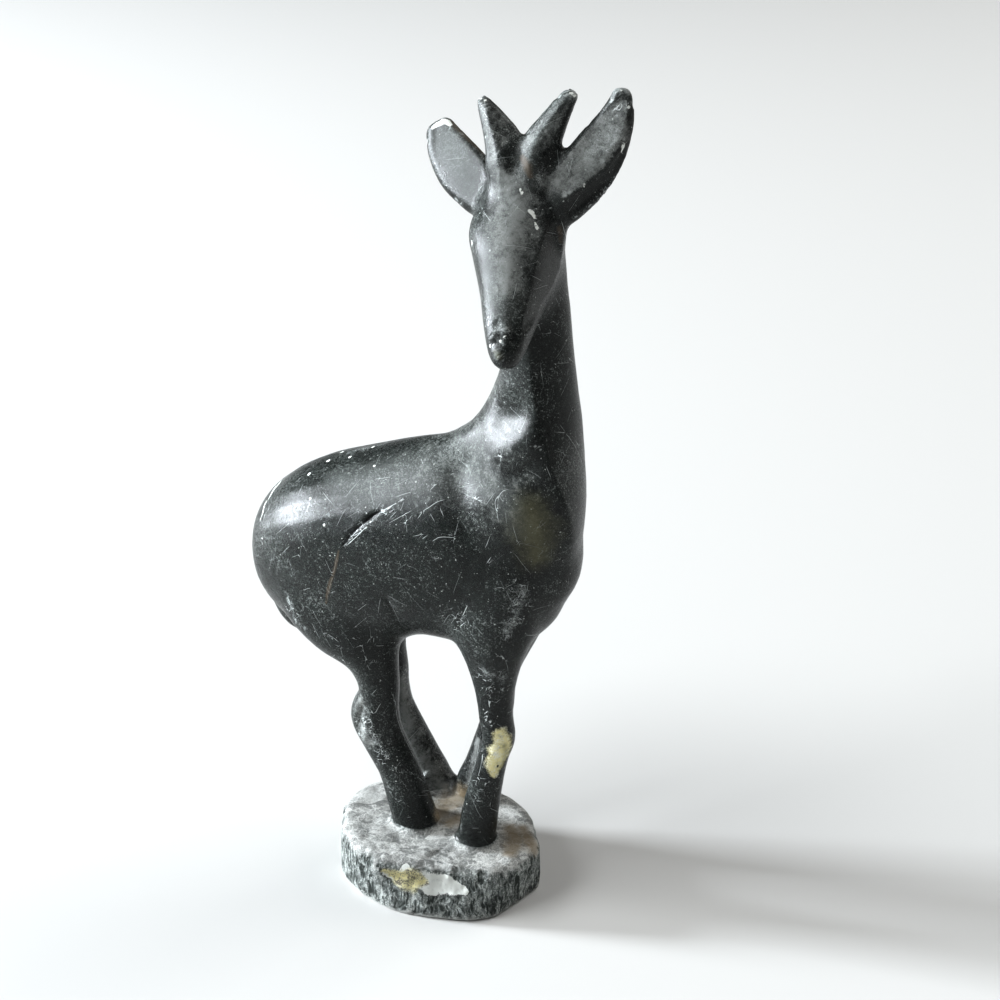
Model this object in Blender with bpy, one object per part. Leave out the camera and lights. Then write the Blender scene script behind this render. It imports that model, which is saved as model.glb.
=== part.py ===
"""A deer carved from one piece of dark soapstone, standing on the oval base left under its feet.

The stone is one solid: the figure is set out as lofted masses that run into each other, fused into one
skin, softened where one mass grows out of another, and cut flat underneath.
+X is the way the body faces, +Z is up, and the origin is the middle of the base's underside.
"""

from math import cos, hypot, pi, radians, sin
from typing import NamedTuple

import bmesh
import bpy
import numpy as np
from mathutils import Matrix, Vector

# The base, in metres: an oval slab with its edges rounded over by the rasp.
BASE_LENGTH = 0.0660
BASE_WIDTH = 0.0520
BASE_THICKNESS = 0.0172
TOP_EDGE_ROUND = 0.0030
LOWER_EDGE_ROUND = 0.0014
FOOT_BURIED = 0.0040

# The figure, from the top of the base to the tip of the left ear, in metres.
FIGURE_HEIGHT = 0.2340

# The carving is set out in 234ths of the figure's height, which are millimetres at its real size.
FIGURE_UNITS = 234
UNIT = FIGURE_HEIGHT / FIGURE_UNITS

# How fine the fused skin is, how far its edges and its junctions are softened, and how many triangles
# the solid keeps.
SKIN_CELL = 0.0008
EDGE_SOFTNESS = 0.0007
JUNCTION_SOFTNESS = 0.0038
SOLID_TRIANGLES = 9400

STONE_COLOUR = (0.030, 0.036, 0.034, 1.0)
STONE_ROUGHNESS = 0.42


class Flat(NamedTuple):
    """A chiselled flat on the base's wall: the way it faces in degrees from +X, and how deep it cuts
    into the oval at the top and at the bottom, in metres."""

    facing: float
    top_cut: float
    bottom_cut: float


BASE_FLATS = [
    Flat(-73.0, 0.0052, 0.0008),
    Flat(-14.0, 0.0, 0.0022),
    Flat(35.0, 0.0012, 0.0010),
    Flat(88.0, 0.0008, 0.0010),
    Flat(-150.0, 0.0012, 0.0010),
]


class Ring(NamedTuple):
    """One cross-section of a mass, in 234ths of the figure's height.

    side and deep are its half sizes. square is 2 for an ellipse and more for a squarer section. keel below
    2 draws the section out to a ridge on its deep side, lean slides that ridge sideways, and turn rotates
    the section about its own path, in degrees."""

    x: float
    y: float
    z: float
    side: float
    deep: float
    square: float = 2.0
    keel: float = 2.0
    lean: float = 0.0
    turn: float = 0.0


# The trunk, from the rump to the breast.
MIDLINE = 6.0
TRUNK = [
    Ring(-63.6, MIDLINE, 77.0, 2.6, 3.6),
    Ring(-61.8, MIDLINE, 77.2, 8.6, 11.6),
    Ring(-57.4, MIDLINE, 78.0, 13.6, 18.4),
    Ring(-50.2, MIDLINE, 79.5, 17.8, 23.9),
    Ring(-41.0, MIDLINE, 81.8, 21.0, 27.4),
    Ring(-28.0, MIDLINE, 86.4, 23.2, 29.6),
    Ring(-12.0, MIDLINE, 93.0, 23.5, 29.4),
    Ring(2.0, MIDLINE, 96.4, 22.5, 31.5),
    Ring(16.0, MIDLINE, 98.2, 20.5, 31.4),
    Ring(27.0, MIDLINE, 103.5, 17.0, 24.4),
    Ring(34.6, MIDLINE, 107.0, 12.5, 18.8),
    Ring(39.8, MIDLINE, 109.5, 6.0, 9.5),
]

# The neck, from inside the breast to the skull. Its throat is a keel that turns with the head.
NECK = [
    Ring(22.0, MIDLINE, 98.0, 17.0, 21.0, 2.0, 1.7, 0.0, -6.0),
    Ring(25.0, 6.6, 116.0, 17.8, 22.4, 2.0, 1.3, 0.0, -26.0),
    Ring(26.6, 7.4, 128.0, 16.0, 20.4, 2.0, 1.14, 0.0, -42.0),
    Ring(28.2, 7.6, 139.0, 13.4, 17.4, 2.0, 1.1, 0.0, -56.0),
    Ring(29.2, 7.0, 149.0, 11.2, 14.0, 2.0, 1.15, 0.0, -66.0),
    Ring(29.6, 6.2, 161.0, 9.7, 11.0, 2.0, 1.3, 0.0, -75.0),
    Ring(28.8, 5.0, 175.0, 9.7, 9.7, 2.0, 1.5, 0.0, -76.0),
    Ring(27.8, 3.0, 189.0, 10.0, 9.6, 2.0, 1.8, 0.0, -74.0),
    Ring(26.5, 1.0, 200.0, 7.0, 7.0, 2.0, 2.0, 0.0, -72.0),
]

# The withers, which carry the line of the back up into the neck.
WITHERS = [
    Ring(-6.0, 8.0, 118.0, 8.0, 5.0),
    Ring(5.0, 8.0, 123.5, 10.0, 6.8),
    Ring(13.5, 8.0, 130.5, 10.0, 6.6),
    Ring(18.6, 8.0, 140.0, 8.0, 5.5),
    Ring(21.8, 7.0, 150.0, 6.0, 4.4),
]

# The head, turned to its right and lowered. Its own frame runs from the back of the skull to the nose.
HEAD_MIDDLE = (27.0, 0.0, 195.0)
HEAD_HEADING = -69.5
HEAD_PITCH = 42.0

# Along the head, from the middle of the skull: rise towards the forehead, half width, half depth,
# squareness and the keel of the face.
HEAD = [
    (-13.0, 0.0, 2.5, 3.0, 2.0, 2.0),
    (-11.5, 0.0, 7.0, 7.5, 2.0, 2.0),
    (-6.0, 0.0, 11.0, 11.0, 2.0, 2.0),
    (0.0, 0.0, 12.6, 12.5, 2.3, 1.9),
    (6.0, -1.0, 12.0, 13.0, 2.6, 1.8),
    (12.0, -1.8, 10.4, 13.0, 2.9, 1.7),
    (18.0, -1.6, 8.7, 11.4, 3.0, 1.7),
    (24.0, -0.4, 7.4, 9.0, 2.9, 1.8),
    (30.0, 0.2, 6.1, 7.0, 2.6, 1.9),
    (35.0, 0.3, 4.8, 5.4, 2.4, 2.0),
    (38.6, 0.0, 3.2, 3.8, 2.0, 2.0),
    (40.2, -0.2, 1.2, 1.4, 2.0, 2.0),
]

# The eyes, low almond swellings on the sides of the head: place along it, rise, length, width, how far
# they stand out, the shares of the length that have a ring, and how thin the corners get.
EYE_AHEAD = 3.4
EYE_RISE = 2.6
EYE_LENGTH = 9.0
EYE_WIDTH = 5.0
EYE_SWELL = 0.5
EYE_SHARES = (-1.0, -0.8, -0.4, 0.0, 0.4, 0.8, 1.0)
EYE_CORNER = 0.2


class Leg(NamedTuple):
    """hip is in 234ths of the figure's height, foot in shares of the base's half length and half width.

    rows run down the leg: share of the way from the hip (0) to the sole (1), shift forwards from the
    straight line between them, half size front to back, half size side to side."""

    name: str
    hip: tuple
    foot: tuple
    rows: list


LEGS = [
    Leg("near hind", (-30.0, -5.0, 76.0), (-0.19, -0.08), [
        (-0.20, -7.0, 14.0, 7.0),
        (0.00, -4.5, 16.8, 10.2),
        (0.09, -1.2, 16.2, 10.0),
        (0.175, 2.8, 12.6, 9.2),
        (0.24, 4.6, 9.2, 7.8),
        (0.325, 4.4, 6.9, 6.4),
        (0.40, 2.8, 6.2, 5.8),
        (0.48, -0.6, 7.6, 5.8),
        (0.53, -1.9, 8.0, 5.6),
        (0.60, -1.4, 7.3, 5.4),
        (0.67, 0.0, 6.8, 5.4),
        (0.74, 0.9, 6.6, 5.5),
        (0.88, 0.9, 6.9, 6.2),
        (0.95, 1.0, 7.2, 6.6),
        (1.00, 0.0, 7.4, 6.8),
    ]),
    Leg("far hind", (-33.0, 17.0, 76.0), (-0.29, 0.73), [
        (-0.20, -5.0, 14.0, 7.0),
        (0.00, -3.5, 17.0, 10.2),
        (0.10, -3.0, 15.0, 9.8),
        (0.20, -3.2, 11.8, 8.6),
        (0.30, -3.6, 8.6, 7.0),
        (0.37, -4.2, 7.2, 6.2),
        (0.45, -5.0, 6.3, 5.8),
        (0.54, -7.2, 6.5, 5.6),
        (0.63, -7.8, 6.4, 5.4),
        (0.735, -5.6, 6.2, 5.4),
        (0.85, -3.2, 6.2, 5.8),
        (0.92, -1.7, 6.5, 6.2),
        (1.00, 0.0, 6.8, 6.4),
    ]),
    Leg("near fore", (29.0, -5.0, 80.0), (0.42, -0.08), [
        (-0.32, -8.0, 9.0, 4.0),
        (-0.20, -7.5, 11.5, 7.0),
        (-0.08, -6.8, 12.4, 8.6),
        (0.00, -6.8, 13.0, 9.0),
        (0.08, -6.1, 11.9, 8.6),
        (0.15, -5.1, 9.5, 7.4),
        (0.24, -3.7, 7.0, 6.0),
        (0.325, -2.0, 5.4, 5.2),
        (0.394, -0.8, 5.0, 5.0),
        (0.473, 1.2, 4.8, 4.9),
        (0.545, 0.7, 4.5, 4.7),
        (0.618, 0.2, 4.6, 4.7),
        (0.76, -0.4, 5.3, 5.1),
        (0.86, -0.8, 6.1, 5.6),
        (0.93, -0.5, 6.0, 5.7),
        (1.00, 0.0, 6.0, 5.8),
    ]),
    Leg("far fore", (22.0, 17.0, 78.0), (0.0, 0.76), [
        (-0.32, 0.0, 9.0, 4.0),
        (-0.20, 0.0, 11.5, 7.0),
        (-0.08, -0.6, 11.4, 8.2),
        (0.00, -0.9, 11.1, 8.4),
        (0.12, -1.9, 9.1, 7.6),
        (0.24, -2.6, 7.4, 6.4),
        (0.34, -2.4, 6.0, 5.6),
        (0.42, -1.2, 5.0, 5.0),
        (0.50, 0.2, 4.8, 4.8),
        (0.60, 1.1, 4.8, 4.8),
        (0.70, 0.6, 4.7, 4.8),
        (0.81, 0.2, 5.0, 5.1),
        (0.90, -0.6, 5.5, 5.5),
        (1.00, 0.0, 5.8, 5.8),
    ]),
]
LEG_SQUARENESS = 2.2

# Ears and horns, each from its root in the skull to its tip. The ears' flat faces are square to these.
LEFT_EAR_BREADTH = Vector((-0.74, 0.0, 0.67))
RIGHT_EAR_BREADTH = Vector((-0.67, -0.16, -0.73))
LEFT_EAR = [
    Ring(33.6, 1.0, 198.2, 4.4, 4.0),
    Ring(38.6, 2.0, 203.2, 5.8, 5.0, 2.0, 1.3, 1.0),
    Ring(43.2, 4.0, 210.6, 7.4, 4.8, 2.0, 1.2, 2.0),
    Ring(47.5, 6.0, 218.2, 6.8, 4.2, 2.0, 1.2, 1.6),
    Ring(50.7, 7.0, 225.2, 5.1, 3.4, 2.0, 1.2, 1.0),
    Ring(51.8, 7.5, 230.4, 3.5, 2.4, 2.0, 1.4, 0.2),
    Ring(51.6, 8.0, 234.0, 2.0, 1.4),
]
RIGHT_EAR = [
    Ring(20.5, 1.0, 200.5, 4.0, 4.0),
    Ring(15.6, 2.6, 202.4, 6.6, 3.4, 3.0),
    Ring(11.2, 4.2, 204.8, 7.2, 3.1, 4.0),
    Ring(6.3, 6.1, 207.3, 7.4, 2.8, 4.0),
    Ring(2.0, 8.3, 210.2, 6.7, 2.5, 4.0),
    Ring(-1.3, 10.3, 213.4, 5.5, 2.3, 4.0),
    Ring(-3.9, 12.3, 216.8, 3.8, 2.0, 4.0),
]
LEFT_HORN = [
    Ring(28.6, -1.5, 198.0, 4.0, 5.0),
    Ring(30.1, 0.0, 209.0, 5.0, 5.4, 2.0, 1.5),
    Ring(32.1, 2.0, 217.5, 5.2, 4.9, 2.0, 1.4),
    Ring(34.6, 3.5, 223.3, 3.9, 4.0, 2.0, 1.4),
    Ring(37.4, 5.0, 228.8, 2.7, 2.8, 2.0, 1.5),
    Ring(39.5, 6.0, 232.0, 1.9, 1.6),
]
RIGHT_HORN = [
    Ring(24.6, -3.0, 198.0, 4.0, 5.0),
    Ring(24.0, -1.2, 209.0, 5.4, 5.4, 2.0, 1.5),
    Ring(22.5, 0.5, 216.8, 5.2, 4.9, 2.0, 1.4),
    Ring(19.2, 1.6, 221.9, 3.8, 4.0, 2.0, 1.4),
    Ring(16.0, 2.6, 225.7, 2.4, 2.8, 2.0, 1.5),
    Ring(14.0, 3.2, 227.9, 1.5, 1.6),
]

# The tail, a short ridge pressed against the rump.
TAIL = [
    Ring(-58.4, MIDLINE, 79.0, 3.0, 3.0),
    Ring(-58.0, MIDLINE, 68.0, 4.6, 4.4, 2.0, 1.4),
    Ring(-55.2, MIDLINE, 59.0, 4.8, 4.4, 2.0, 1.4),
    Ring(-51.6, MIDLINE, 54.2, 3.6, 3.2, 2.0, 1.6),
    Ring(-48.0, MIDLINE, 54.0, 2.0, 2.0),
]

# Where one mass grows out of another, the valley is filled: x, y, z and reach.
JUNCTIONS = [
    (8.0, MIDLINE, 132.0, 18.0),
    (10.0, -10.0, 120.0, 18.0),
    (10.0, 24.0, 120.0, 18.0),
    (36.0, MIDLINE, 92.0, 13.0),
    (33.0, -3.0, 184.0, 12.0),
    (-15.0, -8.0, 64.0, 13.0),
    (-32.0, -13.0, 70.0, 16.0),
    (-43.0, -8.0, 60.0, 14.0),
    (-24.0, 18.0, 60.0, 14.0),
    (-34.0, 26.0, 70.0, 16.0),
    (-45.0, 20.0, 60.0, 14.0),
    (12.0, -9.0, 72.0, 14.0),
    (20.0, -12.0, 96.0, 18.0),
    (32.0, -6.0, 80.0, 14.0),
    (5.0, 19.0, 70.0, 14.0),
    (18.0, 25.0, 96.0, 18.0),
    (28.0, 18.0, 80.0, 14.0),
    (37.0, -2.0, 197.0, 3.0),
    (17.0, 0.0, 199.0, 3.0),
    (30.0, -6.5, 204.5, 6.5),
    (24.5, -7.5, 204.5, 6.5),
]
FOOT_FILLET_REACH = 5.0
FILLING_FADES_AT = 1.5

RING_POINTS = 32
RINGS_PER_SPAN = 5
BASE_OUTLINE_POINTS = 96
BASE_EDGE_STEPS = 5
SMOOTHING_SHARE = 0.5


def clear_scene():
    for old in list(bpy.data.objects):
        bpy.data.objects.remove(old)


def flow(rows, steps_per_span):
    """Rows of numbers on a smooth curve through the given rows."""
    rows = [np.array(row, float) for row in rows]
    ends = [2 * rows[0] - rows[1], *rows, 2 * rows[-1] - rows[-2]]
    found = []
    for a, b, c, d in zip(ends, ends[1:], ends[2:], ends[3:]):
        for step in range(steps_per_span):
            t = step / steps_per_span
            bend = a - 2.5 * b + 2 * c - d / 2
            twist = 1.5 * (b - c) + (d - a) / 2
            found.append(b + t * ((c - a) / 2 + t * (bend + t * twist)))
    return [*found, rows[-1]]


def section(ring, count):
    """Points round a ring in its own plane, the keel on the positive second axis."""
    for step in range(count):
        c, s = cos(2 * pi * step / count), sin(2 * pi * step / count)
        pinch = ring.keel if s > 0 else ring.square
        across = ring.side * abs(c) ** (2 / pinch) * (1 if c > 0 else -1)
        upright = ring.deep * abs(s) ** (2 / ring.square) * (1 if s > 0 else -1)
        yield across + ring.lean * max(upright, 0) / ring.deep, upright


def add_loft(bm, sections):
    """Joins sections, lists of as many points each, into one closed skin."""
    loops = [[bm.verts.new(point) for point in points] for points in sections]
    for low, high in zip(loops, loops[1:]):
        for i in range(len(low)):
            j = (i + 1) % len(low)
            bm.faces.new((low[i], low[j], high[j], high[i]))
    bm.faces.new(reversed(loops[0]))
    bm.faces.new(loops[-1])


def add_limb(bm, rings, side_axis, placed):
    """Lofts rings along their own path. side_axis is where each ring's side size points."""
    smooth = [Ring(*row) for row in flow(rings, RINGS_PER_SPAN)]
    centres = [Vector(ring[:3]) for ring in smooth]
    sections = []
    for i, ring in enumerate(smooth):
        along = (centres[min(i + 1, len(centres) - 1)] - centres[max(i - 1, 0)]).normalized()
        across = (side_axis - along * side_axis.dot(along)).normalized()
        across = Matrix.Rotation(radians(ring.turn), 3, along) @ across
        upright = along.cross(across)
        sections.append([
            placed @ (centres[i] + across * u + upright * v) for u, v in section(ring, RING_POINTS)
        ])
    add_loft(bm, sections)


def head_axes():
    """The head's own axes: to its left, to its forehead, and to its nose."""
    heading, pitch = radians(HEAD_HEADING), radians(HEAD_PITCH)
    ahead = Vector((cos(heading), sin(heading), 0))
    nose = ahead * cos(pitch) - Vector((0, 0, 1)) * sin(pitch)
    left = Vector((0, 0, 1)).cross(ahead)
    return left, nose.cross(left), nose


def head_rings():
    left, brow, nose = head_axes()
    for reach, rise, side, deep, square, keel in HEAD:
        centre = Vector(HEAD_MIDDLE) + nose * reach + brow * rise
        yield Ring(*centre, side, deep, square, keel)


def eye_rings(side):
    """One eye as a short lens-shaped limb that runs towards the nose; side is 1 for the left eye."""
    left, brow, nose = head_axes()
    along_head, half_widths = [row[0] for row in HEAD], [row[2] for row in HEAD]
    for share in EYE_SHARES:
        swell = cos(share * pi / 2)
        ahead = EYE_AHEAD + share * EYE_LENGTH / 2
        wall = np.interp(ahead, along_head, half_widths)
        out = left * side * (wall - EYE_WIDTH / 2 + EYE_SWELL * swell)
        centre = Vector(HEAD_MIDDLE) + nose * ahead + brow * EYE_RISE + out
        yield Ring(*centre, EYE_WIDTH / 2, EYE_WIDTH / 2 * max(swell, EYE_CORNER))


def sole(leg):
    """Where a leg ends inside the base, in 234ths of the figure's height."""
    return Vector((leg.foot[0] * BASE_LENGTH / 2, leg.foot[1] * BASE_WIDTH / 2, -FOOT_BURIED)) / UNIT


def leg_rings(leg):
    for share, ahead, deep, side in leg.rows:
        centre = Vector(leg.hip).lerp(sole(leg), share) + Vector((ahead, 0, 0))
        yield Ring(*centre, side, deep, LEG_SQUARENESS)


def base_reach(angle, height):
    """How far the base's wall stands from its middle, before its edges are rounded."""
    c, s = cos(angle), sin(angle)
    half_length, half_width = BASE_LENGTH / 2, BASE_WIDTH / 2
    reach = 1 / hypot(c / half_length, s / half_width)
    for flat in BASE_FLATS:
        facing = radians(flat.facing)
        cut = flat.bottom_cut + (flat.top_cut - flat.bottom_cut) * height / BASE_THICKNESS
        away = hypot(half_length * cos(facing), half_width * sin(facing)) - cut
        towards = cos(angle - facing)
        if towards > 0:
            reach = min(reach, away / towards)
    return reach


def add_base(bm):
    """The slab, run on below the ground so that one flat cut makes its underside."""
    levels = [(-LOWER_EDGE_ROUND, LOWER_EDGE_ROUND)]
    turns = [step / BASE_EDGE_STEPS * pi / 2 for step in range(BASE_EDGE_STEPS + 1)]
    for turn in turns:
        levels.append((LOWER_EDGE_ROUND * (1 - cos(turn)), LOWER_EDGE_ROUND * (1 - sin(turn))))
    for turn in turns:
        levels.append((
            BASE_THICKNESS - TOP_EDGE_ROUND * (1 - sin(turn)),
            TOP_EDGE_ROUND * (1 - cos(turn)),
        ))
    angles = [2 * pi * step / BASE_OUTLINE_POINTS for step in range(BASE_OUTLINE_POINTS)]
    sections = []
    for height, inset in levels:
        walls = [base_reach(angle, height) - inset for angle in angles]
        sections.append([
            Vector((wall * cos(angle), wall * sin(angle), height)) for angle, wall in zip(angles, walls)
        ])
    add_loft(bm, sections)


def figure_frame():
    """From 234ths of the figure's height, measured up from the base's top, to metres."""
    return Matrix.Translation((0, 0, BASE_THICKNESS)) @ Matrix.Scale(UNIT, 4)


def add_figure(bm):
    placed = figure_frame()
    left, _, _ = head_axes()
    add_limb(bm, TRUNK, Vector((0, 1, 0)), placed)
    add_limb(bm, NECK, Vector((0, -1, 0)), placed)
    add_limb(bm, WITHERS, Vector((0, -1, 0)), placed)
    add_limb(bm, TAIL, Vector((0, -1, 0)), placed)
    add_limb(bm, list(head_rings()), left, placed)
    for side in (1, -1):
        add_limb(bm, list(eye_rings(side)), left, placed)
    for leg in LEGS:
        add_limb(bm, list(leg_rings(leg)), Vector((0, 1, 0)), placed)
    add_limb(bm, LEFT_EAR, LEFT_EAR_BREADTH, placed)
    add_limb(bm, RIGHT_EAR, RIGHT_EAR_BREADTH, placed)
    for horn in (LEFT_HORN, RIGHT_HORN):
        add_limb(bm, horn, -left, placed)


def evaluated_mesh(obj):
    graph = bpy.context.evaluated_depsgraph_get()
    return bpy.data.meshes.new_from_object(obj.evaluated_get(graph))


def fused(deer):
    """One skin round all the masses."""
    fuse = deer.modifiers.new("fuse", "REMESH")
    fuse.mode = "VOXEL"
    fuse.voxel_size = SKIN_CELL
    return evaluated_mesh(deer)


def softening(points):
    """How strongly each point is smoothed: 1 in the middle of a junction, 0 away from them all."""
    placed = figure_frame()
    spots = [(placed @ Vector(spot[:3]), spot[3] * UNIT) for spot in JUNCTIONS]
    for leg in LEGS:
        foot = sole(leg)
        spots.append((placed @ Vector((foot.x, foot.y, 0)), FOOT_FILLET_REACH * UNIT))
    weight = np.zeros(len(points))
    for middle, reach in spots:
        apart = np.linalg.norm(points - np.array(middle), axis=1) / (FILLING_FADES_AT * reach)
        weight = np.maximum(weight, np.clip(1 - apart ** 2, 0, 1))
    return weight


def rounds_for(softness):
    """How many smoothing rounds soften the skin over this length; each spreads it by half a cell."""
    return round(2 * (softness / SKIN_CELL) ** 2 / SMOOTHING_SHARE)


def smoothed(mesh):
    """Moves each point towards the middle of its neighbours, a little everywhere and more at junctions."""
    count = len(mesh.vertices)
    points = np.empty(count * 3)
    mesh.vertices.foreach_get("co", points)
    points = points.reshape(count, 3)
    edges = np.empty(len(mesh.edges) * 2, np.int64)
    mesh.edges.foreach_get("vertices", edges)
    starts, ends = edges.reshape(-1, 2).T
    neighbours = np.bincount(edges, minlength=count)[:, None]

    def smooth_once(points, share):
        total = np.stack([
            np.bincount(starts, points[ends, axis], count) + np.bincount(ends, points[starts, axis], count)
            for axis in range(3)
        ], 1)
        return points + share * (total / neighbours - points)

    for _ in range(rounds_for(EDGE_SOFTNESS)):
        points = smooth_once(points, SMOOTHING_SHARE)
    share = SMOOTHING_SHARE * softening(points)[:, None]
    for _ in range(rounds_for(JUNCTION_SOFTNESS)):
        points = smooth_once(points, share)
    mesh.vertices.foreach_set("co", points.ravel())
    return mesh


def thinned(deer):
    """Fewer, larger triangles, with the flat underside cut first."""
    bm = bmesh.new()
    bm.from_mesh(deer.data)
    whole = bm.verts[:] + bm.edges[:] + bm.faces[:]
    cut = bmesh.ops.bisect_plane(bm, geom=whole, plane_co=(0, 0, 0), plane_no=(0, 0, -1), clear_outer=True)
    rim = [item for item in cut["geom_cut"] if isinstance(item, bmesh.types.BMEdge)]
    bmesh.ops.edgeloop_fill(bm, edges=rim)
    bmesh.ops.triangulate(bm, faces=bm.faces)
    bm.to_mesh(deer.data)
    bm.free()
    thin = deer.modifiers.new("thin", "DECIMATE")
    thin.ratio = SOLID_TRIANGLES / len(deer.data.polygons)
    return evaluated_mesh(deer)


def soapstone():
    stone = bpy.data.materials.new("waxed_soapstone")
    stone.use_nodes = True
    shader = stone.node_tree.nodes["Principled BSDF"]
    shader.inputs["Base Color"].default_value = STONE_COLOUR
    shader.inputs["Roughness"].default_value = STONE_ROUGHNESS
    shader.inputs["Metallic"].default_value = 0.0
    return stone


def build():
    clear_scene()
    mesh = bpy.data.meshes.new("deer")
    bm = bmesh.new()
    add_base(bm)
    add_figure(bm)
    bmesh.ops.recalc_face_normals(bm, faces=bm.faces)
    bm.to_mesh(mesh)
    bm.free()
    deer = bpy.data.objects.new("stone_deer", mesh)
    bpy.context.scene.collection.objects.link(deer)
    deer.data = smoothed(fused(deer))
    deer.modifiers.clear()
    deer.data = thinned(deer)
    deer.modifiers.clear()
    deer.data.shade_smooth()
    deer.data.materials.append(soapstone())
    return deer


build()
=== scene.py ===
"""A deer carved from one block of dark soapstone, waxed, handled and chipped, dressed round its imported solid.

The solid gives the form. The skin made from it here is fine enough for tool marks, and each mark that the
photograph shows is named by the pixels it is seen at and cast from the photograph's viewpoint onto the stone.
"""

from functools import reduce
from math import cos, radians, sin

import bpy
import numpy as np
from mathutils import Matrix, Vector, noise
from mathutils.bvhtree import BVHTree


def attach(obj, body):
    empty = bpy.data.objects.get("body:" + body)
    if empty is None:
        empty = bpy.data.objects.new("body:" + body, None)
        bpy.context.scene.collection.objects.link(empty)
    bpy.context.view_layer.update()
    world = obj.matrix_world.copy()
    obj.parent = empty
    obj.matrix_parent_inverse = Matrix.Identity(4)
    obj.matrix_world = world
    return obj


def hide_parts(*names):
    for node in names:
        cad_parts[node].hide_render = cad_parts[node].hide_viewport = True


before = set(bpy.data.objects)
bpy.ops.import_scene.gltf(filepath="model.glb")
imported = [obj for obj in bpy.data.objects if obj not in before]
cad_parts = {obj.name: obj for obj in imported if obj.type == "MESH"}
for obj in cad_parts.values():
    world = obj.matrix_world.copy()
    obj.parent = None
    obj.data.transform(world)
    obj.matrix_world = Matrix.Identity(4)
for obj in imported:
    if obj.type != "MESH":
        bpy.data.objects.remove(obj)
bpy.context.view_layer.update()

# The viewpoint. The figurine was photographed from a little above its ears and from ahead of its right side,
# so that the face, which is turned to the right, looks towards the lens.
VIEW_AZIMUTH = radians(28.0)
VIEW_ELEVATION = radians(26.0)
VIEW_DISTANCE = 0.575
VIEW_TARGET = Vector((0.0167, 0.00887, 0.1278))
PHOTO_SIDE = 1000
FOCAL_LENGTH_PIXELS = 2020
SENSOR_MM = 36.0
CLIP_START = 0.01


def direction(azimuth, elevation):
    """The unit vector towards something seen that way from the figurine: azimuth 0 is in front of -Y."""
    level = cos(elevation)
    return Vector((sin(azimuth) * level, -cos(azimuth) * level, sin(elevation)))


towards_lens = direction(VIEW_AZIMUTH, VIEW_ELEVATION)
camera = bpy.data.objects.new("camera", bpy.data.cameras.new("camera"))
camera.data.sensor_width = SENSOR_MM
camera.data.lens = SENSOR_MM * FOCAL_LENGTH_PIXELS / PHOTO_SIDE
camera.data.clip_start = CLIP_START
camera.location = VIEW_TARGET + towards_lens * VIEW_DISTANCE
camera.rotation_euler = towards_lens.to_track_quat("Z", "Y").to_euler()
bpy.context.scene.collection.objects.link(camera)
bpy.context.scene.camera = camera
bpy.context.view_layer.update()


def sight(px, py):
    """The direction in which the lens sees a pixel of the photograph."""
    across, down = px - PHOTO_SIDE / 2, py - PHOTO_SIDE / 2
    return (camera.matrix_world.to_3x3() @ Vector((across, -down, -FOCAL_LENGTH_PIXELS))).normalized()


# The block. The deer and its base are one piece of soapstone, roughed out with a chisel, shaped with a rasp
# and, above the base, rubbed smooth and waxed. Its skin here is a fine, even net of points in millimetres.
MM = 0.001
SKIN_CELL = 0.80
FAIRING_ROUNDS = 12
FAIRING_STEP = 0.50
FAIRING_RETURN = -0.53
RIPPLE_SHIFT = 17.3


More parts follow.
